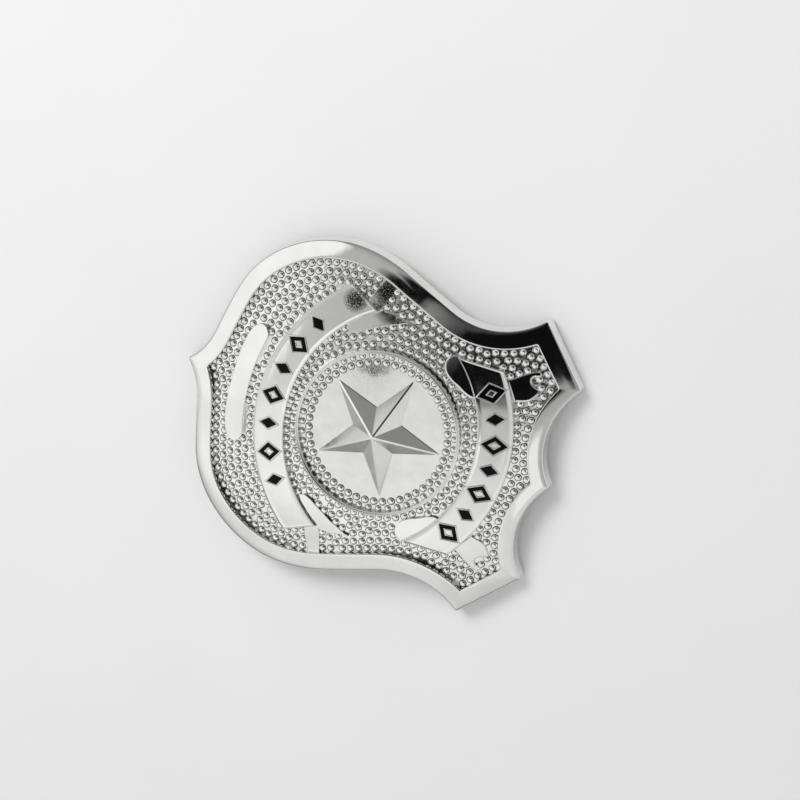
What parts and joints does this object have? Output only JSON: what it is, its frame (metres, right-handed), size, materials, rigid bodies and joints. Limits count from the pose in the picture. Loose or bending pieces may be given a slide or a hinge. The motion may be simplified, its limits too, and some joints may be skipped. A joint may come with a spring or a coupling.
{
  "type": "shield badge",
  "caption": "Domed silver shield badge with curved ribbons, black enamel inlays, a beaded round medallion and a faceted star, with a plain pin behind it.",
  "frame": {"origin": "under the middle of the shield, at the level of the surface that it lies on", "axes": "+Z out of the badge's face, +Y to the badge's top, +X to the right of somebody who looks at the face"},
  "size_m": [0.0546, 0.0621, 0.0099],
  "materials": {
    "plated_metal": "polished, with a satin ground in the medallion",
    "enamel": "glossy black enamel",
    "pin_steel": "plain plated steel"
  },
  "bodies": {
    "root": {"shield": "plated_metal", "back_pin": "pin_steel", "upper_enamel_1": "enamel", "upper_enamel_2": "enamel", "upper_enamel_3": "enamel", "upper_enamel_4": "enamel", "upper_enamel_5": "enamel", "upper_enamel_6": "enamel", "upper_enamel_7": "enamel", "lower_enamel_1": "enamel", "lower_enamel_2": "enamel", "lower_enamel_3": "enamel", "lower_enamel_4": "enamel", "lower_enamel_5": "enamel", "lower_enamel_6": "enamel", "lower_enamel_7": "enamel"}
  },
  "joints": []
}
